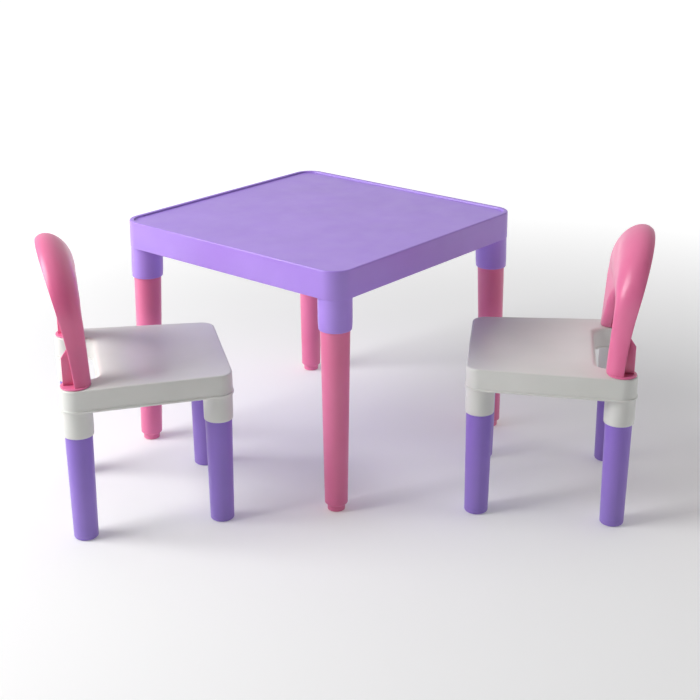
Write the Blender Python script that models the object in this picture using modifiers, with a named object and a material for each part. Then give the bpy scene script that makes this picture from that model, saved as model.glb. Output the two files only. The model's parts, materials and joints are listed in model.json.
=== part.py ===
"""Children's table with two chairs, moulded in plastic.

Each piece is one closed solid in its own object. Lengths are in metres, +Z is up,
X and Y run along the table's sides, and the origin is on the floor below the
centre of the whole set.
"""
import math

import bmesh
import bpy
from mathutils import Matrix, Vector

# Shared fits and walls
FIT_GAP = 0.0003            # air between a leg or peg and what holds it
WALL = 0.0030               # skin of the moulded top and seats
LEG_WALL = 0.0025           # skin of the hollow legs
BACK_WALL = 0.0026          # skin of the backrests
ROUND_STEPS = 24            # sides of a turned piece
CORNER_STEPS = 5            # facets in an outline's rounded corner

# Table
TABLE_SIDE = 0.500
TABLE_HEIGHT = 0.421
TABLE_APRON = 0.048         # height of the skirt round the top
TABLE_CORNER = 0.036        # plan radius of the top's corners
TABLE_RIM = 0.009           # width of the raised edge
TABLE_RECESS = 0.0032       # how far the flat top lies below that edge
TABLE_RIB = 0.0030          # thickness of a rib below the top
TABLE_RIB_DEPTH = 0.014
TABLE_RIB_SPREAD = 0.082    # from the centre to a rib on each side
TABLE_SLEEVE_WALL = 0.00345 # wall of a leg sleeve
TABLE_SLEEVE_DROP = 0.056   # how far a sleeve hangs below the skirt
TABLE_SLEEVE_SET_IN = 0.0018 # from the table's side to the sleeve's side at its mouth
TABLE_LEG_TOP = 0.0485      # leg diameter where it enters its sleeve
TABLE_LEG_LOW = 0.0385      # leg diameter above its foot
TABLE_FOOT = 0.0300         # diameter of the stepped foot
TABLE_FOOT_RISE = 0.009
TABLE_FOOT_BEVEL = 0.004
TABLE_SPLAY = 0.006         # outward lean along each side, from the mouth to the floor

# Chair seat
SEAT_DEPTH = 0.2720
SEAT_REAR = 0.294           # width at the back
SEAT_FRONT = 0.257          # width at the front
SEAT_HEIGHT = 0.2588
SEAT_APRON = 0.0370
SEAT_DISH = 0.006           # depth of the hollow that is sat in
SEAT_DISH_MARGIN = 0.020    # flat edge left round that hollow
SEAT_BEAD = 0.0015          # how far the lower bead stands proud
SEAT_BEAD_RISE = 0.0035
SEAT_RIB = 0.0025
SEAT_RIB_DEPTH = 0.012
SEAT_RIB_SPREAD = 0.052
NOTCH_DEPTH = 0.0620        # cut-out in the back edge, between the rear sleeves
NOTCH_INNER = 0.022         # radius of its inner corners
NOTCH_MOUTH_CUT = 0.003     # how much tighter its outer corners are than the sleeves
REAR_SLEEVE_WALL = 0.00245
FRONT_SLEEVE_WALL = 0.0017
SLEEVE_SET_IN = 0.0006      # from the face of the skirt to the sleeve's side
SEAT_SLEEVE_DROP = 0.044    # how far a sleeve hangs below the skirt

# Chair leg
CHAIR_LEG_TOP = 0.0435      # diameter at the sleeve's mouth
CHAIR_LEG_LOW = 0.0392
CHAIR_LEG_BEVEL = 0.0025
CHAIR_SPLAY = 0.0035        # outward lean to the side, from the mouth to the floor

# Backrest
PEG = 0.0200                # diameter of the peg under each foot
PEG_LENGTH = 0.0200
PEG_TUBE_WALL = 0.0030      # wall of the socket that takes a peg
FLANGE = 0.0460             # diameter of the disc that rests on the seat
FLANGE_RISE = 0.0025
BACK_RISE = 0.2085          # from the seat to the backrest's top edge
BACK_SHOULDER = 0.104       # height at which the sides start to round over
BACK_TAPER = 0.0150         # how much nearer the middle each side is there than at its foot
SLOT_TOP = 0.088            # height of the opening between the prongs
SLOT_SHOULDER = 0.040
SLOT_TAPER = 0.0180         # how much nearer the middle its side is at that height
PRONG_OUT = 0.0188          # from a peg's axis out to the prong's outer edge
PRONG_IN = 0.0242           # and in to the edge of the opening
FACE_AHEAD = 0.0249         # from a peg's axis forward to the front face at its foot
FACE_LEAN = 0.055           # how far the face leans back, per unit of height
FACE_CURL = 1.6             # how sharply it curves further back, in 1/m
CURL_START = 0.120          # height at which that starts
FACE_HOLLOW = 0.0130        # how far the face falls away round the top of the opening
HOLLOW_HALF = 0.110         # half the width over which it does
HOLLOW_FADE = 0.045         # height above the opening over which that ends
PRONG_DEPTH = 0.0260        # depth of a prong at its foot
SIDE_SLOPE = 0.088          # growth of that depth with height, linear part
SIDE_CURVE = 0.624          # and its quadratic part
INNER_RIM = 0.0160          # depth of the rim round the opening
OUTER_ROUND = 0.0200        # width of the rolled outer edge at the foot
OUTER_ROUND_TOP = 0.0400    # and at the top
OUTER_TUCK = 35             # degrees by which the top edge turns in behind
INNER_ROUND = 0.0140
GUSSET = 0.0028             # thickness of the web behind each prong
GUSSET_RISE = 0.062
GUSSET_REACH = 0.0185       # how far it reaches behind the prong's axis
GUSSET_SLOPE = 0.014        # height over which its upper end slopes
GUSSET_TUCK = 0.0092        # how far its top corner lies behind the face, inside the rolled edge
PRONG_STEPS = 5             # stations up a prong
ARCH_STEPS = 7              # stations over a quarter of the arch
OUTER_STEPS = 5             # facets across the rolled outer edge
INNER_STEPS = 3             # and across the inner one

# Places of the chairs, from the table's centre, and the way each one faces in degrees
CHAIR_PLACES = {
    "left": (-TABLE_SIDE / 2 - 0.1430, 0.0529, -37.3),
    "right": (0.0709, -TABLE_SIDE / 2 - 0.1952, 122.2),
}

LAVENDER = (0.42, 0.28, 0.72)
PURPLE = (0.32, 0.17, 0.66)
PINK = (0.85, 0.22, 0.45)
OFF_WHITE = (0.76, 0.75, 0.73)

for old in list(bpy.data.objects):
    bpy.data.objects.remove(old, do_unlink=True)

set_collection = bpy.data.collections.new("kids_table_and_chairs")
bpy.context.scene.collection.children.link(set_collection)


def plastic(name, colour, roughness):
    material = bpy.data.materials.new(name)
    material.use_nodes = True
    shader = material.node_tree.nodes["Principled BSDF"]
    shader.inputs["Base Color"].default_value = (*colour, 1.0)
    shader.inputs["Roughness"].default_value = roughness
    shader.inputs["Metallic"].default_value = 0.0
    return material


def empty(name, parent=None, location=(0, 0, 0), turn=0.0):
    holder = bpy.data.objects.new(name, None)
    holder.location = location
    holder.rotation_euler = (0, 0, turn)
    holder.parent = parent
    set_collection.objects.link(holder)
    return holder


def link_mesh(name, mesh):
    made = bpy.data.objects.new(name, mesh)
    set_collection.objects.link(made)
    return made


def settled(piece):
    """Replace a piece's modifiers, or a curve, by the mesh that they make."""
    bpy.context.view_layer.update()
    evaluated = piece.evaluated_get(bpy.context.evaluated_depsgraph_get())
    mesh = bpy.data.meshes.new_from_object(evaluated)
    name = piece.name
    bpy.data.objects.remove(piece, do_unlink=True)
    made = link_mesh(name, mesh)
    shape = bmesh.new()
    shape.from_mesh(mesh)
    bmesh.ops.remove_doubles(shape, verts=shape.verts, dist=0.00001)
    shape.to_mesh(mesh)
    shape.free()
    return made


def combine(piece, tool, operation):
    """Cut a tool from a piece or join it on, and drop the tool."""
    cut = piece.modifiers.new("combine", "BOOLEAN")
    cut.operation = operation
    cut.object = tool
    cut.solver = "EXACT"
    made = settled(piece)
    bpy.data.objects.remove(tool, do_unlink=True)
    return made


def filleted(corners):
    """Outline through (x, y, radius) corners, each one replaced by its arc."""
    points = []
    count = len(corners)
    for index, (x, y, radius) in enumerate(corners):
        here = Vector((x, y))
        before = (Vector(corners[index - 1][:2]) - here).normalized()
        after = (Vector(corners[(index + 1) % count][:2]) - here).normalized()
        half = before.angle(after) / 2
        centre = here + (before + after).normalized() * (radius / math.sin(half))
        start = here + before * (radius / math.tan(half)) - centre
        end = here + after * (radius / math.tan(half)) - centre
        sweep = start.angle_signed(end)
        for step in range(CORNER_STEPS + 1):
            turn = Matrix.Rotation(-sweep * step / CORNER_STEPS, 2)
            points.append(centre + turn @ start)
    return points


def plate(name, outline, low, high):
    """Flat-faced solid between two heights, from a closed 2D outline."""
    curve = bpy.data.curves.new(name, "CURVE")
    curve.dimensions = "2D"
    curve.fill_mode = "BOTH"
    curve.extrude = (high - low) / 2
    spline = curve.splines.new("POLY")
    spline.points.add(len(outline) - 1)
    for point, place in zip(spline.points, outline):
        point.co = (place[0], place[1], 0.0, 1.0)
    spline.use_cyclic_u = True
    made = settled(link_mesh(name, curve))
    made.data.transform(Matrix.Translation((0, 0, (low + high) / 2)))
    return made


def block(name, centre, size):
    mesh = bpy.data.meshes.new(name)
    shape = bmesh.new()
    bmesh.ops.create_cube(shape, size=1.0, matrix=Matrix.Diagonal((*size, 1.0)))
    shape.to_mesh(mesh)
    shape.free()
    mesh.transform(Matrix.Translation(centre))
    return link_mesh(name, mesh)


def turned(name, profile, place=(0.0, 0.0), steps=ROUND_STEPS):
    """Solid of revolution about a vertical axis, from (radius, height) points."""
    mesh = bpy.data.meshes.new(name)
    points = [(radius, 0.0, height) for radius, height in profile]
    mesh.from_pydata(points, [(i, i + 1) for i in range(len(points) - 1)], [])
    made = link_mesh(name, mesh)
    screw = made.modifiers.new("turn", "SCREW")
    screw.steps = steps
    screw.render_steps = steps
    screw.use_merge_vertices = True
    screw.merge_threshold = 0.00001
    made = settled(made)
    made.data.transform(Matrix.Translation((*place, 0.0)))
    return made


def rod(name, radius, low, high, place=(0.0, 0.0), steps=ROUND_STEPS):
    return turned(name, [(0, high), (radius, high), (radius, low), (0, low)], place, steps)


def finish(piece, material, parent):
    piece.data.materials.clear()
    piece.data.materials.append(material)
    piece.data.shade_smooth()
    piece.data.set_sharp_from_angle(angle=math.radians(35))
    piece.parent = parent
    return piece


def lean(piece, mouth, along, across):
    """Shear a leg or sleeve: by along and across between its mouth and the floor."""
    for vertex in piece.data.vertices:
        share = (mouth - vertex.co.z) / mouth
        vertex.co.x += along * share
        vertex.co.y += across * share
    return piece


def hollow_leg(name, top_radius, low_radius, mouth, top, foot):
    """Tapered leg, open at its upper end; foot is its (radius, height) outline."""
    floor = foot[0][1] + LEG_WALL
    profile = [
        (0, floor),
        (low_radius - LEG_WALL, floor),
        (top_radius - LEG_WALL, mouth),
        (top_radius - LEG_WALL, top),
        (top_radius, top),
        (top_radius, mouth),
        *foot,
        (0, 0),
    ]
    return turned(name, profile)


# ---- Table ----

def table_outline(inset):
    half = TABLE_SIDE / 2 - inset
    radius = max(TABLE_CORNER - inset, 0.004)
    return filleted([(half, half, radius), (-half, half, radius),
                     (-half, -half, radius), (half, -half, radius)])


skirt_low = TABLE_HEIGHT - TABLE_APRON
table_mouth = skirt_low - TABLE_SLEEVE_DROP
flat_top = TABLE_HEIGHT - TABLE_RECESS
table_roof = flat_top - WALL
table_sleeve_radius = TABLE_LEG_TOP / 2 + FIT_GAP + TABLE_SLEEVE_WALL


def table_sleeve_tool(radius, low, high):
    return lean(rod("tool", radius, low, high), table_mouth, TABLE_SPLAY, TABLE_SPLAY)


def at_corner(piece, quarter):
    """Move a piece made at the origin to one of the table's four sleeves."""
    reach = TABLE_SIDE / 2 - TABLE_SLEEVE_SET_IN - table_sleeve_radius
    piece.data.transform(Matrix.Translation((reach, reach, 0)))
    piece.data.transform(Matrix.Rotation(math.radians(90 * quarter), 4, "Z"))
    return piece


def make_table_top():
    top = plate("table_top", table_outline(0), skirt_low, TABLE_HEIGHT)
    top = combine(top, plate("tool", table_outline(WALL), skirt_low - WALL, table_roof), "DIFFERENCE")
    recess = plate("tool", table_outline(TABLE_RIM), flat_top, TABLE_HEIGHT + WALL)
    top = combine(top, recess, "DIFFERENCE")
    rib_length = TABLE_SIDE - 1.5 * WALL    # into the skirt, not through it
    rib_low = table_roof - TABLE_RIB_DEPTH
    rib_middle = (rib_low + table_roof + WALL / 2) / 2
    rib_height = TABLE_RIB_DEPTH + WALL / 2
    for side in (-1, 1):
        along_x = block("tool", (0, side * TABLE_RIB_SPREAD, rib_middle),
                        (rib_length, TABLE_RIB, rib_height))
        top = combine(top, along_x, "UNION")
        along_y = block("tool", (side * TABLE_RIB_SPREAD, 0, rib_middle),
                        (TABLE_RIB, rib_length, rib_height))
        top = combine(top, along_y, "UNION")
    for quarter in range(4):
        sleeve = table_sleeve_tool(table_sleeve_radius, table_mouth, table_roof + WALL / 2)
        top = combine(top, at_corner(sleeve, quarter), "UNION")
        bore = table_sleeve_tool(TABLE_LEG_TOP / 2 + FIT_GAP, table_mouth - WALL, table_roof)
        top = combine(top, at_corner(bore, quarter), "DIFFERENCE")
    return top


def make_table_leg(name):
    foot = [(TABLE_LEG_LOW / 2, TABLE_FOOT_RISE + TABLE_FOOT_BEVEL),
            (TABLE_FOOT / 2, TABLE_FOOT_RISE), (TABLE_FOOT / 2, 0)]
    leg = hollow_leg(name, TABLE_LEG_TOP / 2, TABLE_LEG_LOW / 2, table_mouth,
                     table_roof - FIT_GAP, foot)
    return lean(leg, table_mouth, TABLE_SPLAY, TABLE_SPLAY)


# ---- Chair ----

half_depth = SEAT_DEPTH / 2
rear_sleeve_radius = CHAIR_LEG_TOP / 2 + FIT_GAP + REAR_SLEEVE_WALL
front_sleeve_radius = CHAIR_LEG_TOP / 2 + FIT_GAP + FRONT_SLEEVE_WALL
rear_round = rear_sleeve_radius + SLEEVE_SET_IN
front_round = front_sleeve_radius + SLEEVE_SET_IN
rear_axis = -half_depth + rear_round
front_axis = half_depth - front_round


def seat_half_width(along):
    """Half the seat's width at a distance forward of its centre."""
    share = (along + half_depth) / SEAT_DEPTH
    return (SEAT_REAR + (SEAT_FRONT - SEAT_REAR) * share) / 2


rear_side = seat_half_width(rear_axis) - rear_round
front_side = seat_half_width(front_axis) - front_round
seat_skirt = SEAT_HEIGHT - SEAT_APRON
seat_mouth = seat_skirt - SEAT_SLEEVE_DROP
seat_roof = SEAT_HEIGHT - WALL
leg_places = {
    "front_left": (front_axis, front_side, front_sleeve_radius),
    "front_right": (front_axis, -front_side, front_sleeve_radius),
    "rear_left": (rear_axis, rear_side, rear_sleeve_radius),
    "rear_right": (rear_axis, -rear_side, rear_sleeve_radius),
}


def seat_outline(grow):
    """Plan of the seat, moved outwards by grow: a trapezoid with a cut-out behind."""
    front = half_depth + grow
    rear = -half_depth - grow
    inner = -half_depth + NOTCH_DEPTH - grow
    notch = rear_side - rear_round - grow
    mouth_round = rear_round - NOTCH_MOUTH_CUT + grow
    half_front = SEAT_FRONT / 2 + grow
    half_rear = SEAT_REAR / 2 + grow
    return filleted([
        (front, -half_front, front_round + grow), (front, half_front, front_round + grow),
        (rear, half_rear, rear_round + grow), (rear, notch, mouth_round),
        (inner, notch, NOTCH_INNER - grow), (inner, -notch, NOTCH_INNER - grow),
        (rear, -notch, mouth_round), (rear, -half_rear, rear_round + grow),
    ])


def dish_tool(drop):
    """Shallow bowl that hollows the seat, lowered by drop for its underside."""
    rear = -half_depth + NOTCH_DEPTH + SEAT_DISH_MARGIN / 2
    front = half_depth - SEAT_DISH_MARGIN
    half_width = SEAT_FRONT / 2 - SEAT_DISH_MARGIN / 2
    rings = 4
    top = SEAT_HEIGHT - drop
    bowl = [(0, top + WALL), (1, top + WALL), (1, top)]
    for ring in range(rings - 1, -1, -1):
        share = ring / rings
        bowl.append((share, top - SEAT_DISH * (1 - share ** 2)))
    tool = turned("tool", bowl)
    stretch = Matrix.Diagonal(((front - rear) / 2, half_width, 1, 1))
    tool.data.transform(Matrix.Translation(((front + rear) / 2, 0, 0)) @ stretch)
    return tool


def make_seat(name):
    seat = plate(name, seat_outline(0), seat_skirt + SEAT_BEAD_RISE / 2, SEAT_HEIGHT)
    bead = plate("tool", seat_outline(SEAT_BEAD), seat_skirt, seat_skirt + SEAT_BEAD_RISE)
    seat = combine(seat, bead, "UNION")
    cavity = plate("tool", seat_outline(-WALL), seat_skirt - WALL, seat_roof)
    cavity = combine(cavity, dish_tool(WALL), "DIFFERENCE")
    seat = combine(seat, cavity, "DIFFERENCE")
    seat = combine(seat, dish_tool(0), "DIFFERENCE")
    rib_rear = -half_depth + NOTCH_DEPTH + WALL / 2
    rib_front = half_depth - WALL / 2
    rib_low = seat_roof - SEAT_DISH - SEAT_RIB_DEPTH
    rib_high = seat_roof - SEAT_DISH + WALL / 2
    for side in (-1, 1):
        rib = block("tool", ((rib_rear + rib_front) / 2, side * SEAT_RIB_SPREAD, (rib_low + rib_high) / 2),
                    (rib_front - rib_rear, SEAT_RIB, rib_high - rib_low))
        seat = combine(seat, rib, "UNION")
    for along, across, radius in leg_places.values():
        place = (along, across)
        splay = math.copysign(CHAIR_SPLAY, across)
        sleeve = rod("tool", radius, seat_mouth, seat_roof + WALL / 2, place)
        seat = combine(seat, lean(sleeve, seat_mouth, 0, splay), "UNION")
        bore = rod("tool", CHAIR_LEG_TOP / 2 + FIT_GAP, seat_mouth - WALL, seat_roof, place)
        seat = combine(seat, lean(bore, seat_mouth, 0, splay), "DIFFERENCE")
    hole = PEG / 2 + FIT_GAP
    for side in (-1, 1):
        place = (rear_axis, side * rear_side)
        tube_low = SEAT_HEIGHT - PEG_LENGTH - WALL
        tube = rod("tool", hole + PEG_TUBE_WALL, tube_low, seat_roof + WALL / 2, place, 16)
        seat = combine(seat, tube, "UNION")
        socket = rod("tool", hole, tube_low - WALL, SEAT_HEIGHT + WALL, place, 16)
        seat = combine(seat, socket, "DIFFERENCE")
    return seat


def make_chair_leg(name, across):
    radius = CHAIR_LEG_LOW / 2
    foot = [(radius, CHAIR_LEG_BEVEL), (radius - CHAIR_LEG_BEVEL, 0)]
    leg = hollow_leg(name, CHAIR_LEG_TOP / 2, radius, seat_mouth, seat_roof - FIT_GAP, foot)
    return lean(leg, seat_mouth, 0, math.copysign(CHAIR_SPLAY, across))


# ---- Backrest: a channel that runs up one prong, over the top and down the other ----

face_foot = rear_axis + FACE_AHEAD
back_half_low = rear_side + PRONG_OUT
slot_half_low = rear_side - PRONG_IN


def smooth(share):
    share = min(max(share, 0.0), 1.0)
    return share * share * (3 - 2 * share)


def face_at(across, rise):
    """How far forward the front face stands, at a height above the seat."""
    middle = max(1 - (across / HOLLOW_HALF) ** 2, 0.0)
    fade = 1 - smooth((rise - SLOT_TOP) / HOLLOW_FADE)
    hollow = FACE_HOLLOW * smooth(rise / SLOT_TOP) * middle * fade
    curl = FACE_CURL * max(rise - CURL_START, 0.0) ** 2
    return face_foot - FACE_LEAN * rise - curl - hollow


def rear_at(rise):
    """How far forward the rolled side ends at its rear edge."""
    return face_foot - PRONG_DEPTH - SIDE_SLOPE * rise - SIDE_CURVE * rise ** 2


def arch_point(step, low_half, taper, shoulder, top):
    """Point (across, rise) of an outline that goes up a side and rounds over."""
    foot = FLANGE_RISE / 2
    high_half = low_half - taper
    if step <= PRONG_STEPS:
        share = step / PRONG_STEPS
        eased = 1 - (1 - share) ** 2
        return low_half - taper * eased, foot + (shoulder - foot) * share
    turn = math.pi / 2 * (step - PRONG_STEPS) / ARCH_STEPS
    return high_half * math.cos(turn), shoulder + (top - shoulder) * math.sin(turn)


def channel_section(step, sign):
    """Points of the channel's front skin at one station, outer edge to inner edge."""
    outer = Vector(arch_point(step, back_half_low, BACK_TAPER, BACK_SHOULDER, BACK_RISE))
    inner = Vector(arch_point(step, slot_half_low, SLOT_TAPER, SLOT_SHOULDER, SLOT_TOP))
    direction = (inner - outer).normalized()
    high = smooth((outer.y - SLOT_SHOULDER) / (BACK_RISE - SLOT_SHOULDER))
    outer_round = OUTER_ROUND + (OUTER_ROUND_TOP - OUTER_ROUND) * high
    tuck = math.radians(OUTER_TUCK) * high
    section = []
    for facet in range(OUTER_STEPS + 1):
        turn = -tuck + (math.pi / 2 + tuck) * facet / OUTER_STEPS
        place = outer + direction * outer_round * (1 - math.cos(turn))
        rear = rear_at(place.y)
        face = face_at(place.x, place.y)
        depth = (math.sin(turn) + math.sin(tuck)) / (1 + math.sin(tuck))
        section.append((rear + (face - rear) * depth, sign * place.x, place.y))
    for facet in range(INNER_STEPS, -1, -1):
        turn = math.pi / 2 * facet / INNER_STEPS
        place = inner - direction * INNER_ROUND * (1 - math.cos(turn))
        face = face_at(place.x, place.y)
        section.append((face - INNER_RIM * (1 - math.sin(turn)), sign * place.x, place.y))
    return section


def gusset(across):
    """Upright web behind a prong, with a sloped upper end."""
    low = FLANGE_RISE / 2
    front_low = face_at(across, low) - BACK_WALL / 2
    front_high = face_at(across, GUSSET_RISE) - GUSSET_TUCK
    rear = rear_axis - GUSSET_REACH
    top_rear = GUSSET_RISE - GUSSET_SLOPE
    outline = [(front_low, low), (front_high, GUSSET_RISE), (rear_at(GUSSET_RISE), GUSSET_RISE),
               (rear, top_rear), (rear, low)]
    web = plate("tool", outline, -GUSSET / 2, GUSSET / 2)
    web.data.transform(Matrix.Rotation(math.pi / 2, 4, "X"))
    web.data.transform(Matrix.Translation((0, across, SEAT_HEIGHT)))
    return web


def make_backrest(name):
    last = PRONG_STEPS + ARCH_STEPS
    stations = [channel_section(step, 1) for step in range(last + 1)]
    stations += [channel_section(step, -1) for step in range(last - 1, -1, -1)]
    shape = bmesh.new()
    grid = [[shape.verts.new(point) for point in station] for station in stations]
    for lower, upper in zip(grid, grid[1:]):
        for column in range(len(lower) - 1):
            shape.faces.new((lower[column], lower[column + 1], upper[column + 1], upper[column]))
    bmesh.ops.recalc_face_normals(shape, faces=shape.faces)
    mesh = bpy.data.meshes.new(name)
    shape.to_mesh(mesh)
    shape.free()
    mesh.transform(Matrix.Translation((0, 0, SEAT_HEIGHT)))
    back = link_mesh(name, mesh)
    skin = back.modifiers.new("skin", "SOLIDIFY")
    skin.thickness = BACK_WALL
    skin.offset = -1.0
    back = settled(back)
    flange_low = SEAT_HEIGHT + FIT_GAP
    peg_low = SEAT_HEIGHT - PEG_LENGTH
    for side in (-1, 1):
        place = (rear_axis, side * rear_side)
        disc = rod("tool", FLANGE / 2, flange_low, SEAT_HEIGHT + FLANGE_RISE, place)
        back = combine(back, disc, "UNION")
        peg = rod("tool", PEG / 2, peg_low, SEAT_HEIGHT + FLANGE_RISE / 2, place, 16)
        back = combine(back, peg, "UNION")
        back = combine(back, gusset(side * rear_side), "UNION")
    return back


# ---- Assembly ----

lavender = plastic("lavender_plastic", LAVENDER, 0.35)
purple = plastic("purple_plastic", PURPLE, 0.35)
pink = plastic("pink_plastic", PINK, 0.35)
off_white = plastic("off_white_plastic", OFF_WHITE, 0.40)

set_root = empty("set_root")
table_root = empty("table_root", set_root)
finish(make_table_top(), lavender, table_root)
for quarter, corner in enumerate(("back_right", "back_left", "front_left", "front_right")):
    leg = at_corner(make_table_leg("table_leg_" + corner), quarter)
    finish(leg, pink, table_root)

for chair, (x, y, facing) in CHAIR_PLACES.items():
    chair_root = empty(chair + "_chair_root", set_root, (x, y, 0), math.radians(facing))
    finish(make_seat(chair + "_seat"), off_white, chair_root)
    for corner, (along, across, _) in leg_places.items():
        leg = make_chair_leg(chair + "_leg_" + corner, across)
        leg.location = (along, across, 0)
        finish(leg, purple, chair_root)
    finish(make_backrest(chair + "_backrest"), pink, chair_root)

# The origin goes below the centre of the whole set
bpy.context.view_layer.update()
corners = []
for piece in set_collection.objects:
    if piece.type == "MESH":
        corners += [piece.matrix_world @ vertex.co for vertex in piece.data.vertices]
low_x, high_x = min(c.x for c in corners), max(c.x for c in corners)
low_y, high_y = min(c.y for c in corners), max(c.y for c in corners)
set_root.location = (-(low_x + high_x) / 2, -(low_y + high_y) / 2, 0)
bpy.context.view_layer.update()
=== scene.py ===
# Kids' table with two chairs, moulded plastic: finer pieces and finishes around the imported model
import json
import math

import bmesh
import bpy
from mathutils import Matrix, Vector


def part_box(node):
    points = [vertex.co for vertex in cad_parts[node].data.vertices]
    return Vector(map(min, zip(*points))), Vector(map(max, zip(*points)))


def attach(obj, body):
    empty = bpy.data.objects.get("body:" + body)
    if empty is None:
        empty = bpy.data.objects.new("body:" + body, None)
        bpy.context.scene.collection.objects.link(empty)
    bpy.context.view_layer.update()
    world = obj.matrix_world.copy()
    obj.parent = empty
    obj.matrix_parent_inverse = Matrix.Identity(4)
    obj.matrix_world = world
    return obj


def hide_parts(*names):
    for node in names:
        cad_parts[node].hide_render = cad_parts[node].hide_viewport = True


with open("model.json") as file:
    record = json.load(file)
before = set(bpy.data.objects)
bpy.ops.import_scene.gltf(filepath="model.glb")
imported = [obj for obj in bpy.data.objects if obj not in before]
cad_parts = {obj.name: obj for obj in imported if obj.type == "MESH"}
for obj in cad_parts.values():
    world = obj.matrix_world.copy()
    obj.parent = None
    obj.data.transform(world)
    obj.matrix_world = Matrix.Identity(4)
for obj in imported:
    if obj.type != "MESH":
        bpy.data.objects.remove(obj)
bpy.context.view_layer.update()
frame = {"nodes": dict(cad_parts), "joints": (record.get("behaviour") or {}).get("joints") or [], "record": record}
print("frame loaded:", len(frame["nodes"]), "nodes")

lookCollection = bpy.data.collections.new("kidsSetLooks")
bpy.context.scene.collection.children.link(lookCollection)


# small helpers for outlines and meshes

def softPath(corners, steps, closed=True):
    # corners are (x, y, radius); each one becomes an arc, or stays a point where its radius is 0
    points = []
    count = len(corners)
    for index, (x, y, radius) in enumerate(corners):
        isEnd = not closed and index in (0, count - 1)
        if radius <= 0 or isEnd:
            points.append(Vector((x, y)))
            continue
        here = Vector((x, y))
        before = (Vector(corners[index - 1][:2]) - here).normalized()
        after = (Vector(corners[(index + 1) % count][:2]) - here).normalized()
        half = before.angle(after) / 2
        centre = here + (before + after).normalized() * (radius / math.sin(half))
        start = here + before * (radius / math.tan(half)) - centre
        end = here + after * (radius / math.tan(half)) - centre
        sweep = start.angle_signed(end)
        for step in range(steps + 1):
            points.append(centre + Matrix.Rotation(-sweep * step / steps, 2) @ start)
    return points


def smooth(share):
    # eases from 0 to 1 with level ends
    share = min(max(share, 0.0), 1.0)
    return share * share * (3 - 2 * share)


def ringVerts(shape, points, height):
    return [shape.verts.new((p[0], p[1], height)) for p in points]


def bridge(shape, lower, upper):
    count = len(lower)
    for index in range(count):
        after = (index + 1) % count
        shape.faces.new((lower[index], lower[after], upper[after], upper[index]))


def fillFlat(shape, *rings):
    # fills the flat area between one outer ring and any rings inside it
    edges = []
    for ring in rings:
        for index, vert in enumerate(ring):
            other = ring[(index + 1) % len(ring)]
            edges.append(shape.edges.get((vert, other)) or shape.edges.new((vert, other)))
    bmesh.ops.triangle_fill(shape, edges=edges, use_beauty=True, use_dissolve=False)


def lathe(shape, profile, place, sides, closed=False, leaning=(0.0, 0.0, 1.0)):
    # turns a (radius, height) profile about an upright axis at place
    # leaning holds how far it moves out by the floor, and the height where it starts to
    along, across, mouth = leaning
    rings = []
    for radius, height in profile:
        share = (mouth - height) / mouth
        middle = (place[0] + along * share, place[1] + across * share)
        if radius <= 0:
            rings.append([shape.verts.new((middle[0], middle[1], height))])
            continue
        ring = []
        for side in range(sides):
            turn = 2 * math.pi * side / sides
            ring.append(shape.verts.new((middle[0] + radius * math.cos(turn),
                                         middle[1] + radius * math.sin(turn), height)))
        rings.append(ring)
    pairs = list(zip(rings, rings[1:]))
    if closed:
        pairs.append((rings[-1], rings[0]))
    for first, second in pairs:
        if len(first) == 1 or len(second) == 1:
            tip, rim = (first[0], second) if len(first) == 1 else (second[0], first)
            for side in range(sides):
                shape.faces.new((tip, rim[side], rim[(side + 1) % sides]))
        else:
            bridge(shape, first, second)


def bar(shape, centre, size, edge):
    # rib with softened edges
    place = Matrix.Translation(centre) @ Matrix.Diagonal((*size, 1.0))
    made = bmesh.ops.create_cube(shape, size=1.0, matrix=place)
    edges = dict.fromkeys(side for corner in made["verts"] for side in corner.link_edges)
    bmesh.ops.bevel(shape, geom=list(edges), offset=edge, segments=2, profile=0.5, affect="EDGES")


def newPiece(name, shape, material, place, sharp=40):
    # edges sharper than this many degrees stay crisp in the shading
    bmesh.ops.recalc_face_normals(shape, faces=shape.faces)
    mesh = bpy.data.meshes.new(name)
    shape.to_mesh(mesh)
    shape.free()
    mesh.transform(place)
    mesh.shade_smooth()
    mesh.set_sharp_from_angle(angle=math.radians(sharp))
    made = bpy.data.objects.new(name, mesh)
    made.data.materials.append(material)
    lookCollection.objects.link(made)
    return made


def joinIn(target, source):
    # adds one finished bmesh to another
    mesh = bpy.data.meshes.new("part")
    source.to_mesh(mesh)
    source.free()
    target.from_mesh(mesh)
    bpy.data.meshes.remove(mesh)


def settle(piece):
    # keeps what the modifiers make
    bpy.context.view_layer.update()
    evaluated = piece.evaluated_get(bpy.context.evaluated_depsgraph_get())
    mesh = bpy.data.meshes.new_from_object(evaluated)
    piece.modifiers.clear()
    old = piece.data
    piece.data = mesh
    bpy.data.meshes.remove(old)


# finishes: one moulded plastic, in four colours

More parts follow.
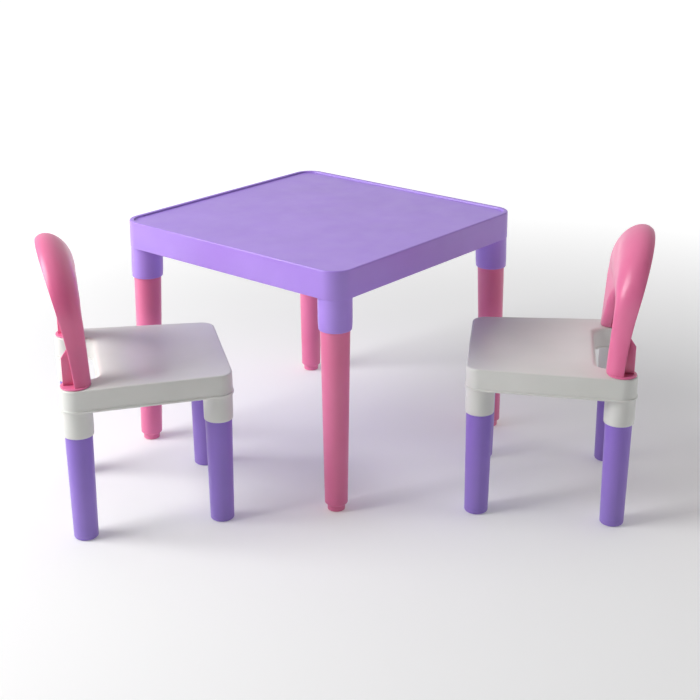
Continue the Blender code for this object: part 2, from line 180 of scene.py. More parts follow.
plasticLook = {
    "bending": 1.49,         # index of refraction
    "scatter": (0.006, 0.004, 0.004),
    "coat": 0.15,
    "coatRough": 0.18,
    "cloudSize": 9.0,        # flow clouds in the colour, per metre
    "cloudDetail": 4.0,
    "cloudLow": 0.35,
    "cloudHigh": 0.65,
    "peelSize": 620.0,       # fine orange peel from the mould
    "peelDetail": 2.0,
    "peelDepth": 0.00005,
    "peelStrength": 0.5,
    "waveSize": 26.0,        # slow waviness of a moulded wall
    "waveDetail": 1.0,
    "waveDepth": 0.00035,
    "waveStrength": 0.35,
    "scuffSize": 30.0,       # patches of uneven gloss
    "scuffDetail": 3.0,
    "scuffLow": 0.2,
    "scuffHigh": 0.8,
    "roughLow": 0.285,
    "roughHigh": 0.43,
    "edgeStart": 0.56,       # where an edge counts as worn
    "edgeEnd": 0.90,
    "edgeWear": 0.45,
}
plasticColours = {           # main colour, its darker clouds, its worn edges, softness to light
    "lavender": ((0.44, 0.27, 0.84), (0.41, 0.25, 0.80), (0.56, 0.42, 0.90), 0.06),
    "purple": ((0.29, 0.16, 0.66), (0.26, 0.145, 0.62), (0.42, 0.30, 0.76), 0.06),
    "pink": ((0.84, 0.20, 0.39), (0.82, 0.175, 0.36), (0.90, 0.36, 0.52), 0.10),
    "offWhite": ((0.78, 0.78, 0.75), (0.74, 0.745, 0.71), (0.84, 0.84, 0.82), 0.06),
}


def mouldedPlastic(name, colour, deep, worn, softness):
    # colour with slow clouds, paler worn edges, uneven gloss, orange peel and a slight waviness
    look = plasticLook
    material = bpy.data.materials.new(name)
    material.use_nodes = True
    nodes, links = material.node_tree.nodes, material.node_tree.links
    shader = nodes["Principled BSDF"]
    shader.inputs["IOR"].default_value = look["bending"]
    shader.inputs["Subsurface Weight"].default_value = softness
    shader.inputs["Subsurface Radius"].default_value = look["scatter"]
    shader.inputs["Subsurface Scale"].default_value = 1.0
    shader.inputs["Coat Weight"].default_value = look["coat"]
    shader.inputs["Coat Roughness"].default_value = look["coatRough"]
    where = nodes.new("ShaderNodeTexCoord")

    def noise(scale, detail):
        made = nodes.new("ShaderNodeTexNoise")
        made.inputs["Scale"].default_value = scale
        made.inputs["Detail"].default_value = detail
        links.new(where.outputs["Object"], made.inputs["Vector"])
        return made

    def spread(source, low, high, toLow=0.0, toHigh=1.0):
        made = nodes.new("ShaderNodeMapRange")
        made.inputs["From Min"].default_value = low
        made.inputs["From Max"].default_value = high
        made.inputs["To Min"].default_value = toLow
        made.inputs["To Max"].default_value = toHigh
        links.new(source, made.inputs["Value"])
        return made.outputs["Result"]

    def blendColour(factor, first, second):
        made = nodes.new("ShaderNodeMix")
        made.data_type = "RGBA"
        links.new(factor, made.inputs["Factor"])
        for socket, value in ((made.inputs["A"], first), (made.inputs["B"], second)):
            if isinstance(value, tuple):
                socket.default_value = (*value, 1.0)
            else:
                links.new(value, socket)
        return made.outputs["Result"]

    def bump(source, strength, depth):
        made = nodes.new("ShaderNodeBump")
        made.inputs["Strength"].default_value = strength
        made.inputs["Distance"].default_value = depth
        links.new(source.outputs["Fac"], made.inputs["Height"])
        return made

    clouds = noise(look["cloudSize"], look["cloudDetail"])
    cloudShare = spread(clouds.outputs["Fac"], look["cloudLow"], look["cloudHigh"])
    tinted = blendColour(cloudShare, deep, colour)
    geometry = nodes.new("ShaderNodeNewGeometry")
    pointed = geometry.outputs["Pointiness"]
    edge = spread(pointed, look["edgeStart"], look["edgeEnd"], 0.0, look["edgeWear"])
    wornColour = blendColour(edge, tinted, worn)
    links.new(wornColour, shader.inputs["Base Color"])

    scuffs = noise(look["scuffSize"], look["scuffDetail"])
    gloss = spread(scuffs.outputs["Fac"], look["scuffLow"], look["scuffHigh"],
                   look["roughLow"], look["roughHigh"])
    links.new(gloss, shader.inputs["Roughness"])

    peel = noise(look["peelSize"], look["peelDetail"])
    wave = noise(look["waveSize"], look["waveDetail"])
    waveBump = bump(wave, look["waveStrength"], look["waveDepth"])
    peelBump = bump(peel, look["peelStrength"], look["peelDepth"])
    links.new(waveBump.outputs["Normal"], peelBump.inputs["Normal"])
    links.new(peelBump.outputs["Normal"], shader.inputs["Normal"])
    return material


plastics = {}
for colourName, shades in plasticColours.items():
    plastics[colourName] = mouldedPlastic(colourName + "Plastic", *shades)
print("finishes made")


# sleeves: the same kind of tube takes every leg, under the table and under the seats

sleeve = {
    "taperRise": 0.012,      # the outside draws in over this height
    "lipRound": 0.0010,
    "boreRound": 0.0008,
    "roundSteps": 5,
}


def sleeveProfile(outer, bore, mouth, top, taper):
    # a sleeve's wall from its roof down to a rounded, slightly drawn-in mouth and up inside
    return softPath([
        (outer, top, 0), (outer, mouth + sleeve["taperRise"], 0),
        (outer - taper, mouth, sleeve["lipRound"]), (bore, mouth, sleeve["boreRound"]),
        (bore, top, 0)], sleeve["roundSteps"], closed=False)


# table: a rimmed top on four plug-in legs

table = {
    "side": 0.500,
    "height": 0.421,
    "apron": 0.048,
    "corner": 0.036,
    "cornerLeast": 0.004,    # corners further in never get tighter than this
    "rim": 0.009,
    "rimLean": 0.0004,
    "rimFoot": 0.0011,
    "rimRound": 0.0012,
    "recess": 0.0032,
    "wall": 0.0030,
    "draft": 0.0006,
    "edgeRound": 0.0022,
    "lipRound": 0.0009,
    "roofLean": 0.0004,
    "roofRound": 0.0015,
    "flatStart": 0.004,
    "roofStart": 0.005,
    "ribSpread": 0.082,
    "ribDepth": 0.014,
    "ribTuck": 0.0008,       # ribs run up into the roof, and the two pairs differ a little
    "ribExtra": 0.0015,
    "ribExtraAcross": 0.0013,
    "ribRound": 0.0007,
    "sleeveTuck": 0.0015,
    "sleeveTaper": 0.0008,
    "sleeveOut": 0.0560,
    "sleeveDrop": 0.056,
    "sleeveInset": 0.0298,
    "bore": 0.0491,
    "legTop": 0.0485,
    "legLow": 0.0385,
    "legWall": 0.0025,
    "legGap": 0.0003,        # between the leg's end and the roof
    "legEndRound": 0.0006,
    "ankleRound": 0.0020,
    "foot": 0.0300,
    "footRise": 0.009,
    "footBevel": 0.004,
    "footDraft": 0.0004,
    "footRound": 0.0014,
    "footHollowRound": 0.001,
    "splay": 0.006,
    "cornerSteps": 16,
    "roundSteps": 5,
    "legRoundSteps": 4,
    "sides": 72,
}
tableLow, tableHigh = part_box("table_top")
tableMiddle = (tableLow + tableHigh) / 2
tablePlace = Matrix.Translation((tableMiddle.x, tableMiddle.y, 0))
skirtLow = table["height"] - table["apron"]
tableMouth = skirtLow - table["sleeveDrop"]
tableFlat = table["height"] - table["recess"]
tableRoof = tableFlat - table["wall"]
sleeveReach = table["side"] / 2 - table["sleeveInset"]
tableCorners = {
    "back_right": (1, 1),
    "back_left": (-1, 1),
    "front_left": (-1, -1),
    "front_right": (1, -1),
}


def tableOutline(inset):
    half = table["side"] / 2 - inset
    radius = max(table["corner"] - inset, table["cornerLeast"])
    corners = [(half * x, half * y, radius) for x, y in tableCorners.values()]
    return softPath(corners, table["cornerSteps"])


def tabletopShell():
    # a section from the flat of the top over the rim, down the skirt and up to the roof inside,
    # as distances in from the edge, taken round the outline
    wall, rim, lean, top = table["wall"], table["rim"], table["rimLean"], table["height"]
    section = softPath([
        (rim + table["flatStart"], tableFlat, 0), (rim + lean, tableFlat, table["rimFoot"]),
        (rim - lean, top, table["rimRound"]), (table["draft"], top, table["edgeRound"]),
        (0, skirtLow, table["lipRound"]), (wall, skirtLow, table["lipRound"]),
        (wall + table["roofLean"], tableRoof, table["roofRound"]),
        (wall + table["roofStart"], tableRoof, 0)], table["roundSteps"], closed=False)
    shape = bmesh.new()
    rings = [ringVerts(shape, tableOutline(inset), height) for inset, height in section]
    for first, second in zip(rings, rings[1:]):
        bridge(shape, first, second)
    shape.faces.new(rings[0])
    shape.faces.new(rings[-1])
    return shape


def makeTabletop():
    shape = tabletopShell()
    wall, depth, edge = table["wall"], table["ribDepth"], table["ribRound"]
    ribMiddle = tableRoof - depth / 2 + table["ribTuck"]
    length = table["side"] - 1.5 * wall
    for side in (-1, 1):
        offset = side * table["ribSpread"]
        along = (length, wall, depth + table["ribExtra"])
        across = (wall, length, depth + table["ribExtraAcross"])
        bar(shape, (0, offset, ribMiddle), along, edge)
        bar(shape, (offset, 0, ribMiddle), across, edge)
    profile = sleeveProfile(table["sleeveOut"] / 2, table["bore"] / 2, tableMouth,
                            tableRoof + table["sleeveTuck"], table["sleeveTaper"])
    for x, y in tableCorners.values():
        leaning = (x * table["splay"], y * table["splay"], tableMouth)
        lathe(shape, profile, (x * sleeveReach, y * sleeveReach), table["sides"], True, leaning)
    top = newPiece("tabletop", shape, plastics["lavender"], tablePlace)
    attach(top, "table")
    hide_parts("table_top")


def makeTableLeg(name, x, y):
    top, low, wall = table["legTop"] / 2, table["legLow"] / 2, table["legWall"]
    foot, rise, footRound = table["foot"] / 2, table["footRise"], table["footRound"]
    ankle, ankleRound = rise + table["footBevel"], table["ankleRound"]
    high, endRound = tableRoof - table["legGap"], table["legEndRound"]
    profile = softPath([
        (0, wall, 0), (foot - wall, wall, table["footHollowRound"]),
        (low - wall, ankle + wall, ankleRound), (top - wall, tableMouth, 0),
        (top - wall, high, endRound), (top, high, endRound), (top, tableMouth, 0),
        (low, ankle, ankleRound), (foot, rise, footRound),
        (foot - table["footDraft"], 0, footRound), (0, 0, 0)],
        table["legRoundSteps"], closed=False)
    shape = bmesh.new()
    leaning = (x * table["splay"], y * table["splay"], tableMouth)
    lathe(shape, profile, (x * sleeveReach, y * sleeveReach), table["sides"], False, leaning)
    leg = newPiece("tableLeg_" + name, shape, plastics["pink"], tablePlace)
    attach(leg, "table")
    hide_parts("table_leg_" + name)


makeTabletop()
for cornerName, (sideX, sideY) in tableCorners.items():
    makeTableLeg(cornerName, sideX, sideY)
print("table made")


# chair: a seat on four plug-in legs, the same for both chairs

seat = {
    "depth": 0.2720,
    "rearWidth": 0.294,
    "frontWidth": 0.257,
    "height": 0.2588,
    "apron": 0.0370,
    "wall": 0.0030,
    "flatStart": 0.0020,
    "draft": 0.0003,
    "edgeRound": 0.0028,
    "fallRound": 0.0085,     # wider rounding over the cut-out
    "bead": 0.0015,
    "beadRise": 0.0035,
    "beadFoot": 0.0008,
    "beadRound": 0.0007,
    "lipRound": 0.0009,
    "roofRound": 0.0012,
    "dish": 0.0065,
    "dishMargin": 0.012,
    "dishMarginSides": 0.75,  # as a share of the margin at the front and rear
    "dishSquare": 3.0,       # 2 is an ellipse, more is squarer
    "dishBowl": 2.6,         # more keeps the bottom level for longer
    "dishBrim": 1.7,         # more softens the hollow's border
    "dishSides": 96,
    "dishSteps": 16,
    "notchDepth": 0.0620,
    "notchInner": 0.022,
    "notchMouthCut": 0.003,
    "notchSlack": 0.001,
    "sleeveOutRear": 0.0490,
    "sleeveOutFront": 0.0475,
    "sleeveSetIn": 0.0006,
    "sleeveTaper": 0.0003,
    "sleeveDrop": 0.044,
    "bore": 0.0441,
    "ribSpread": 0.052,
    "ribDepth": 0.012,
    "ribWall": 0.0025,
    "ribRound": 0.0006,
    "pegHole": 0.0206,
    "pegHoleRound": 0.0006,
    "pegTubeWall": 0.0030,
    "pegLength": 0.0200,
    "pegSides": 48,
    "cornerSteps": 14,
    "roundSteps": 6,
    "sides": 64,
}
chairLeg = {
    "top": 0.0435,
    "low": 0.0392,
    "wall": 0.0025,
    "gap": 0.0003,           # between the leg's end and the roof
    "endRound": 0.0006,
    "hollowRound": 0.002,
    "footRound": 0.0034,
    "splay": 0.0035,
    "roundSteps": 6,
    "sides": 64,
}
halfDepth = seat["depth"] / 2
rearRound = seat["sleeveOutRear"] / 2 + seat["sleeveSetIn"]
frontRound = seat["sleeveOutFront"] / 2 + seat["sleeveSetIn"]
rearAxis = -halfDepth + rearRound
frontAxis = halfDepth - frontRound


def seatHalfWidth(along):
    share = (along + halfDepth) / seat["depth"]
    return (seat["rearWidth"] + (seat["frontWidth"] - seat["rearWidth"]) * share) / 2


rearSide = seatHalfWidth(rearAxis) - rearRound
frontSide = seatHalfWidth(frontAxis) - frontRound
seatSkirt = seat["height"] - seat["apron"]
seatMouth = seatSkirt - seat["sleeveDrop"]
seatRoof = seat["height"] - seat["wall"]
legPlaces = {
    "front_left": (frontAxis, frontSide, seat["sleeveOutFront"]),
    "front_right": (frontAxis, -frontSide, seat["sleeveOutFront"]),
    "rear_left": (rearAxis, rearSide, seat["sleeveOutRear"]),
    "rear_right": (rearAxis, -rearSide, seat["sleeveOutRear"]),
}


def seatOutline(grow):
    front, rear = halfDepth + grow, -halfDepth - grow
    inner = -halfDepth + seat["notchDepth"] - grow
    notch = rearSide - rearRound - grow
    mouthRound = rearRound - seat["notchMouthCut"] + grow
    innerRound = seat["notchInner"] - grow
    wideFront, wideRear = seat["frontWidth"] / 2 + grow, seat["rearWidth"] / 2 + grow
    frontArc, rearArc = frontRound + grow, rearRound + grow
    return softPath([
        (front, -wideFront, frontArc), (front, wideFront, frontArc),
        (rear, wideRear, rearArc), (rear, notch, mouthRound),
        (inner, notch, innerRound), (inner, -notch, innerRound),
        (rear, -notch, mouthRound), (rear, -wideRear, rearArc)], seat["cornerSteps"])


def fallAt(point):
    # 1 along the inner edge of the cut-out, 0 elsewhere
    inner = -halfDepth + seat["notchDepth"]
    deep = smooth((point[0] - inner + seat["notchInner"]) / seat["notchInner"])
    aside = rearSide - rearRound + seat["notchSlack"]
    inside = point[0] < inner + seat["notchSlack"] and abs(point[1]) < aside
    return deep if inside else 0.0


def circle(radius, place, sides):
    turns = [2 * math.pi * side / sides for side in range(sides)]
    return [(place[0] + radius * math.cos(t), place[1] + radius * math.sin(t)) for t in turns]


def dishRings(shape, top):
    # shallow squarish hollow, level at its border; returns its border ring
    rear = -halfDepth + seat["notchDepth"] + seat["dishMargin"]
    front = halfDepth - seat["dishMargin"]
    middle, reach = (front + rear) / 2, (front - rear) / 2
    wide = seat["frontWidth"] / 2 - seat["dishMargin"] * seat["dishMarginSides"]
    sides, steps, power = seat["dishSides"], seat["dishSteps"], 2 / seat["dishSquare"]
    rings = []
    for step in range(steps):
        share = 1 - step / steps
        drop = seat["dish"] * (1 - share ** seat["dishBowl"]) ** seat["dishBrim"]
        points = []
        for side in range(sides):
            turn = 2 * math.pi * side / sides
            x = math.copysign(abs(math.cos(turn)) ** power, math.cos(turn))
            y = math.copysign(abs(math.sin(turn)) ** power, math.sin(turn))
            points.append((middle + reach * share * x, wide * share * y))
        rings.append(ringVerts(shape, points, top - drop))
    for first, second in zip(rings, rings[1:]):
        bridge(shape, first, second)
    tip = shape.verts.new((middle, 0, top - seat["dish"]))
    for side in range(sides):
        shape.faces.new((tip, rings[-1][side], rings[-1][(side + 1) % sides]))
    return rings[0]


def makeSeat(chair, place):
    wall, top, bead = seat["wall"], seat["height"], seat["bead"]
    beadTop, lip = seatSkirt + seat["beadRise"], seat["lipRound"]
    draft, flat = seat["draft"], seat["flatStart"]

    def section(edge):
        # from the top over the edge, down past the bead and up to the roof inside
        return softPath([
            (-edge - flat, top, 0), (-draft, top, edge), (0, beadTop, seat["beadFoot"]),
            (bead, beadTop, seat["beadRound"]), (bead, seatSkirt, lip), (-wall, seatSkirt, lip),
            (-wall - draft, seatRoof, seat["roofRound"]), (-wall - flat, seatRoof, 0)],
            seat["roundSteps"], closed=False)

    # the edge over the cut-out falls away in a wider curve than the others
    shape = bmesh.new()
    falls = [fallAt(point) for point in seatOutline(0)]
    rings = []
    for plain, wide in zip(section(seat["edgeRound"]), section(seat["fallRound"])):
        ring = []
        for near, far, fall in zip(seatOutline(plain[0]), seatOutline(wide[0]), falls):
            spot = near.lerp(far, fall)
            ring.append(shape.verts.new((spot.x, spot.y, plain[1] + (wide[1] - plain[1]) * fall)))
        rings.append(ring)
    for first, second in zip(rings, rings[1:]):
        bridge(shape, first, second)
    # each peg socket is a tube that opens in the top and hangs below the roof
    hole, tube = seat["pegHole"] / 2, seat["pegHole"] / 2 + seat["pegTubeWall"]
    tubeLow, chamfer = top - seat["pegLength"] - wall, seat["pegHoleRound"]
    levels = [(hole + chamfer, top), (hole, top - chamfer), (hole, tubeLow),
              (tube, tubeLow), (tube, seatRoof)]
    socketRings = []
    for side in (-1, 1):
        spot = (rearAxis, side * rearSide)
        tubeRings = [ringVerts(shape, circle(radius, spot, seat["pegSides"]), height)
                     for radius, height in levels]
        for first, second in zip(tubeRings, tubeRings[1:]):
            bridge(shape, first, second)
        socketRings.append((tubeRings[0], tubeRings[-1]))
    fillFlat(shape, rings[0], dishRings(shape, top), socketRings[0][0], socketRings[1][0])
    fillFlat(shape, rings[-1], dishRings(shape, seatRoof), socketRings[0][1], socketRings[1][1])
    ribRear, ribFront = -halfDepth + seat["notchDepth"] + wall / 2, halfDepth - wall / 2
    ribHigh = seatRoof - seat["dish"] + wall / 2
    ribLow = seatRoof - seat["dish"] - seat["ribDepth"]
    for side in (-1, 1):
        bar(shape, ((ribRear + ribFront) / 2, side * seat["ribSpread"], (ribLow + ribHigh) / 2),
            (ribFront - ribRear, seat["ribWall"], ribHigh - ribLow), seat["ribRound"])
    for along, across, outer in legPlaces.values():
        profile = sleeveProfile(outer / 2, seat["bore"] / 2, seatMouth,
                                seatRoof + wall / 2, seat["sleeveTaper"])
        leaning = (0, math.copysign(chairLeg["splay"], across), seatMouth)
        lathe(shape, profile, (along, across), seat["sides"], True, leaning)
    piece = newPiece(chair + "Seat", shape, plastics["offWhite"], place)
    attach(piece, chair + "_chair")
    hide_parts(chair + "_seat")


def makeChairLeg(chair, name, place):
    along, across = legPlaces[name][:2]
    top, low, wall = chairLeg["top"] / 2, chairLeg["low"] / 2, chairLeg["wall"]
    high, end, soft = seatRoof - chairLeg["gap"], chairLeg["endRound"], chairLeg["footRound"]
    profile = softPath([
        (0, wall, 0), (low - wall, wall, chairLeg["hollowRound"]), (top - wall, seatMouth, 0),
        (top - wall, high, end), (top, high, end), (top, seatMouth, 0),
        (low, soft, 0), (low, 0, soft), (0, 0, 0)], chairLeg["roundSteps"], closed=False)
    shape = bmesh.new()
    leaning = (0, math.copysign(chairLeg["splay"], across), seatMouth)
    lathe(shape, profile, (along, across), chairLeg["sides"], False, leaning)
    leg = newPiece(chair + "Leg_" + name, shape, plastics["purple"], place)
    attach(leg, chair + "_chair")
    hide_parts(chair + "_leg_" + name)


# backrest: a channel up one prong, over the top and down the other

backrest = {
    "peg": 0.0200,
    "pegLength": 0.0200,
    "pegRound": 0.0018,
    "flange": 0.0460,
    "flangeRise": 0.0025,
    "flangeGap": 0.0003,     # between the flange and the seat
    "flangeTopRound": 0.0009,
    "flangeLowRound": 0.0006,
    "pegRootRound": 0.0004,
    "wall": 0.0026,
    "edgeSoft": 0.0009,      # rounding of the channel's free edges
    "edgeSegments": 3,
    "edgeAngle": 50,
    "sharp": 50,
    "rise": 0.2085,
    "shoulder": 0.104,
    "halfLow": 0.1390,
    "halfHigh": 0.1240,
    "slotTop": 0.088,
    "slotShoulder": 0.040,
    "slotHalfLow": 0.0960,
    "slotHalfHigh": 0.0780,
    "faceSetIn": 0.0500,
    "faceLean": 0.055,
    "faceCurl": 1.6,
    "curlStart": 0.120,
    "hollow": 0.0130,        # the face falls away round the top of the opening
    "hollowHalf": 0.110,
    "hollowFade": 0.045,
    "prongDepth": 0.0260,
    "sideSlope": 0.088,
    "sideCurve": 0.624,
    "innerRim": 0.0160,
    "outerRound": 0.0200,
    "outerRoundTop": 0.0400,
    "outerTuck": 35,         # degrees that the rim curls past square at the top
    "innerRound": 0.0140,
    "web": 0.0028,
    "webRise": 0.062,
    "webReach": 0.0185,
    "webSlope": 0.014,
    "webTuck": 0.0092,
    "webRound": 0.004,
    "webBevel": 0.0006,
    "prongSteps": 18,
    "archSteps": 34,
    "outerSteps": 14,
    "innerSteps": 9,
    "faceSteps": 4,
    "roundSteps": 5,
    "sides": 64,
}


def faceAt(across, rise):
    # how far forward the front face stands at a height above the seat
    look = backrest
    middle = max(1 - (across / look["hollowHalf"]) ** 2, 0.0)
    fade = 1 - smooth((rise - look["slotTop"]) / look["hollowFade"])
    hollow = look["hollow"] * smooth(rise / look["slotTop"]) * middle * fade
    curl = look["faceCurl"] * max(rise - look["curlStart"], 0.0) ** 2
    return -halfDepth + look["faceSetIn"] - look["faceLean"] * rise - curl - hollow


def rearAt(rise):
    # how far back the outer edge stands at a height above the seat
    foot = -halfDepth + backrest["faceSetIn"] - backrest["prongDepth"]
    return foot - backrest["sideSlope"] * rise - backrest["sideCurve"] * rise ** 2


def archPoint(step, lowHalf, highHalf, shoulder, top):
    # a point up the prong and then over half of the arch, as (half width, height)
    foot = backrest["flangeRise"] / 2
    if step <= backrest["prongSteps"]:
        share = step / backrest["prongSteps"]
        ease = 1 - (1 - share) ** 2
        return lowHalf + (highHalf - lowHalf) * ease, foot + (shoulder - foot) * share
    turn = math.pi / 2 * (step - backrest["prongSteps"]) / backrest["archSteps"]
    return highHalf * math.cos(turn), shoulder + (top - shoulder) * math.sin(turn)


def channelSection(step, sign):
    # from the rim's outer edge, over the face, to the edge round the opening
    look = backrest
    outer = Vector(archPoint(step, look["halfLow"], look["halfHigh"],
                             look["shoulder"], look["rise"]))
    inner = Vector(archPoint(step, look["slotHalfLow"], look["slotHalfHigh"],
                             look["slotShoulder"], look["slotTop"]))
    direction = (inner - outer).normalized()
    high = smooth((outer.y - look["slotShoulder"]) / (look["rise"] - look["slotShoulder"]))
    outerRound = look["outerRound"] + (look["outerRoundTop"] - look["outerRound"]) * high
    tuck = math.radians(look["outerTuck"]) * high
    section = []
    for facet in range(look["outerSteps"] + 1):
        turn = -tuck + (math.pi / 2 + tuck) * facet / look["outerSteps"]
        spot = outer + direction * outerRound * (1 - math.cos(turn))
        rear, face = rearAt(spot.y), faceAt(spot.x, spot.y)
        depth = (math.sin(turn) + math.sin(tuck)) / (1 + math.sin(tuck))
        section.append((rear + (face - rear) * depth, sign * spot.x, spot.y))
    startSpot = outer + direction * outerRound
    endSpot = inner - direction * look["innerRound"]
    for facet in range(1, look["faceSteps"]):
        spot = startSpot.lerp(endSpot, facet / look["faceSteps"])
        section.append((faceAt(spot.x, spot.y), sign * spot.x, spot.y))
    for facet in range(look["innerSteps"], -1, -1):
        turn = math.pi / 2 * facet / look["innerSteps"]
        spot = inner - direction * look["innerRound"] * (1 - math.cos(turn))
        face = faceAt(spot.x, spot.y)
        section.append((face - look["innerRim"] * (1 - math.sin(turn)), sign * spot.x, spot.y))
    return section


def backrestChannel():
    # the shell, thickened and softened, as a bmesh
    last = backrest["prongSteps"] + backrest["archSteps"]
    stations = [channelSection(step, 1) for step in range(last + 1)]
    stations += [channelSection(step, -1) for step in range(last - 1, -1, -1)]
    shape = bmesh.new()
    grid = [[shape.verts.new(point) for point in station] for station in stations]
    for lower, upper in zip(grid, grid[1:]):
        for column in range(len(lower) - 1):
            corners = (lower[column], lower[column + 1], upper[column + 1], upper[column])
            shape.faces.new(corners)
    lift = Matrix.Translation((0, 0, seat["height"]))
    channel = newPiece("channel", shape, plastics["pink"], lift)
    skin = channel.modifiers.new("skin", "SOLIDIFY")
    skin.thickness = backrest["wall"]
    skin.offset = -1.0
    soft = channel.modifiers.new("soft", "BEVEL")
    soft.width = backrest["edgeSoft"]
    soft.segments = backrest["edgeSegments"]
    soft.limit_method = "ANGLE"
    soft.angle_limit = math.radians(backrest["edgeAngle"])
    settle(channel)
    made = bmesh.new()
    made.from_mesh(channel.data)
    bpy.data.objects.remove(channel, do_unlink=True)
    return made


def addFoot(shape, across):
    # flange, peg and web under one prong
    look = backrest
    base, flange, peg = seat["height"], look["flange"] / 2, look["peg"] / 2
    flangeTop, flangeLow = base + look["flangeRise"], base + look["flangeGap"]
    pegLow = base - look["pegLength"]
    profile = softPath([
        (0, flangeTop, 0), (flange, flangeTop, look["flangeTopRound"]),
        (flange, flangeLow, look["flangeLowRound"]), (peg, flangeLow, look["pegRootRound"]),
        (peg, pegLow, look["pegRound"]), (0, pegLow, 0)], look["roundSteps"], closed=False)
    lathe(shape, profile, (rearAxis, across), look["sides"])

    low, high, soft = look["flangeRise"] / 2, look["webRise"], look["webRound"]
    frontLow = faceAt(across, low) - look["wall"] / 2
    frontHigh = faceAt(across, high) - look["webTuck"]
    rear = rearAxis - look["webReach"]
    outline = softPath([
        (frontLow, low, 0), (frontHigh, high, 0), (rearAt(high), high, soft),
        (rear, high - look["webSlope"], soft), (rear, low, 0)], look["roundSteps"])
    web = bmesh.new()
    half, bevel = look["web"] / 2, look["webBevel"]
    middle = Vector(((frontLow + rear) / 2, high / 2))
    sides = []
    for inset, offset in ((bevel, -half), (0, -half + bevel), (0, half - bevel), (bevel, half)):
        ring = []
        for point in outline:
            spot = point + (middle - point).normalized() * inset
            ring.append(web.verts.new((spot.x, across + offset, base + spot.y)))
        sides.append(ring)
    for first, second in zip(sides, sides[1:]):
        bridge(web, first, second)
    web.faces.new(sides[0])
    web.faces.new(sides[-1])
    joinIn(shape, web)


def makeBackrest(chair, place):
    shape = backrestChannel()
    for side in (-1, 1):
        addFoot(shape, side * rearSide)
    piece = newPiece(chair + "Backrest", shape, plastics["pink"], place, backrest["sharp"])
    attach(piece, chair + "_backrest")
    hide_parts(chair + "_backrest")


def chairFrame(chair):
    # the chair's place and facing, from its rear feet and the way it slides
    feet = {mount["name"]: Vector(mount["pos_m"]) for mount in frame["record"]["mounts"]}
    foot = chair + "_chair_foot_rear_"
    rear = (feet[foot + "left"] + feet[foot + "right"]) / 2
    slide = next(joint for joint in frame["joints"] if joint["name"] == chair + "_chair_slide")
    forward = Vector(slide["axis"])
    middle = rear - forward * rearAxis
    facing = Matrix.Rotation(math.atan2(forward.y, forward.x), 4, "Z")
    return Matrix.Translation((middle.x, middle.y, 0)) @ facing


for chairName in ("left", "right"):
    chairPlace = chairFrame(chairName)
    makeSeat(chairName, chairPlace)
    for legName in legPlaces:
        makeChairLeg(chairName, legName, chairPlace)
    makeBackrest(chairName, chairPlace)
    print(chairName, "chair made")


# stage, lights and camera

stage = {
    "floorSize": 14.0,
    "floorCells": 8,
    "floorDrop": 0.0005,     # keeps it just clear of the feet
    "floorColour": (0.80, 0.80, 0.80),
    "floorRough": 0.9,
    "floorShine": 0.1,
    "glowNear": 0.16,        # the floor gets brighter away from the set
    "glowFar": 0.80,
    "glowStart": 0.7,        # metres from the middle of the table
    "glowEnd": 2.6,
    "sweepTowards": (0.72, 0.60, 0.34),
    "sweepStart": -0.3,
    "sweepEnd": 0.8,
    "sweepLight": 0.62,
    "roomLight": 0.01,
    "lampAim": 0.25,         # height on the table's axis that the lights point at
    "cameraOffset": (-1.7906, -1.5551, 1.0655),
    "cameraPitch": 20.86,
    "cameraTurn": -50.29,
    "lens": 70.485,
    "sensor": 36.0,
}
softBoxes = {                # place from the table's foot, size and power
    "keyLeft": ((-1.85, 1.25, 1.75), 1.5, 66),
    "fillRight": ((0.9, -2.2, 0.9), 1.2, 4),
    "topBox": ((-0.6, 0.3, 2.3), 1.8, 4),
}
tableFoot = Vector((tableMiddle.x, tableMiddle.y, 0))


def makeFloor():
    shape = bmesh.new()
    cells = stage["floorCells"]
    bmesh.ops.create_grid(shape, x_segments=cells, y_segments=cells, size=stage["floorSize"] / 2)
    material = bpy.data.materials.new("paleFloor")
    material.use_nodes = True
    shader = material.node_tree.nodes["Principled BSDF"]
    shader.inputs["Base Color"].default_value = (*stage["floorColour"], 1.0)
    shader.inputs["Roughness"].default_value = stage["floorRough"]
    shader.inputs["Specular IOR Level"].default_value = stage["floorShine"]
    shader.inputs["Emission Color"].default_value = (1, 1, 1, 1)
    nodes, links = material.node_tree.nodes, material.node_tree.links
    where = nodes.new("ShaderNodeTexCoord")
    distance = nodes.new("ShaderNodeVectorMath")
    distance.operation = "LENGTH"
    links.new(where.outputs["Object"], distance.inputs[0])
    glow = nodes.new("ShaderNodeMapRange")
    glow.interpolation_type = "SMOOTHSTEP"
    glow.inputs["From Min"].default_value = stage["glowStart"]
    glow.inputs["From Max"].default_value = stage["glowEnd"]
    glow.inputs["To Min"].default_value = stage["glowNear"]
    glow.inputs["To Max"].default_value = stage["glowFar"]
    links.new(distance.outputs["Value"], glow.inputs["Value"])
    links.new(glow.outputs["Result"], shader.inputs["Emission Strength"])
    place = Matrix.Translation((tableMiddle.x, tableMiddle.y, -stage["floorDrop"]))
    floor = newPiece("floor", shape, material, place)


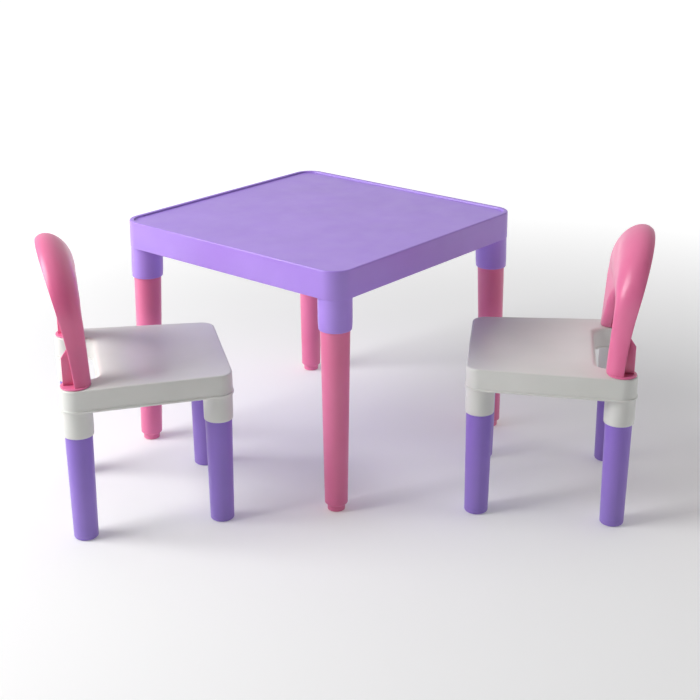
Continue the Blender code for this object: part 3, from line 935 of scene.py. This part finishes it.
def softLight(name, offset, size, power):
    # a square soft box that points at the table
    data = bpy.data.lights.new(name, "AREA")
    data.shape = "SQUARE"
    data.size = size
    data.energy = power
    lamp = bpy.data.objects.new(name, data)
    target = Vector((tableMiddle.x, tableMiddle.y, stage["lampAim"]))
    lamp.location = tableFoot + Vector(offset)
    lamp.rotation_euler = (target - lamp.location).to_track_quat("-Z", "Y").to_euler()
    bpy.context.scene.collection.objects.link(lamp)


def makeWorld():
    world = bpy.data.worlds.new("studio")
    bpy.context.scene.world = world
    world.use_nodes = True
    background = world.node_tree.nodes["Background"]
    background.inputs["Color"].default_value = (1, 1, 1, 1)
    # a white sweep stands behind the set and the room in front of it is dim
    nodes, links = world.node_tree.nodes, world.node_tree.links
    where = nodes.new("ShaderNodeTexCoord")
    facing = nodes.new("ShaderNodeVectorMath")
    facing.operation = "DOT_PRODUCT"
    facing.inputs[1].default_value = stage["sweepTowards"]
    links.new(where.outputs["Generated"], facing.inputs[0])
    sweep = nodes.new("ShaderNodeMapRange")
    sweep.interpolation_type = "SMOOTHSTEP"
    sweep.inputs["From Min"].default_value = stage["sweepStart"]
    sweep.inputs["From Max"].default_value = stage["sweepEnd"]
    sweep.inputs["To Min"].default_value = stage["roomLight"]
    sweep.inputs["To Max"].default_value = stage["sweepLight"]
    links.new(facing.outputs["Value"], sweep.inputs["Value"])
    links.new(sweep.outputs["Result"], background.inputs["Strength"])


def makeCamera():
    data = bpy.data.cameras.new("view")
    data.lens = stage["lens"]
    data.sensor_width = stage["sensor"]
    camera = bpy.data.objects.new("view", data)
    camera.location = tableFoot + Vector(stage["cameraOffset"])
    pitch, turn = math.radians(90 - stage["cameraPitch"]), math.radians(stage["cameraTurn"])
    camera.rotation_euler = (pitch, 0, turn)
    bpy.context.scene.collection.objects.link(camera)
    bpy.context.scene.camera = camera


makeFloor()
makeWorld()
for boxName, (offset, size, power) in softBoxes.items():
    softLight(boxName, offset, size, power)
makeCamera()
bpy.context.scene.view_settings.view_transform = "Standard"
bpy.context.scene.view_settings.look = "None"
print("stage set")
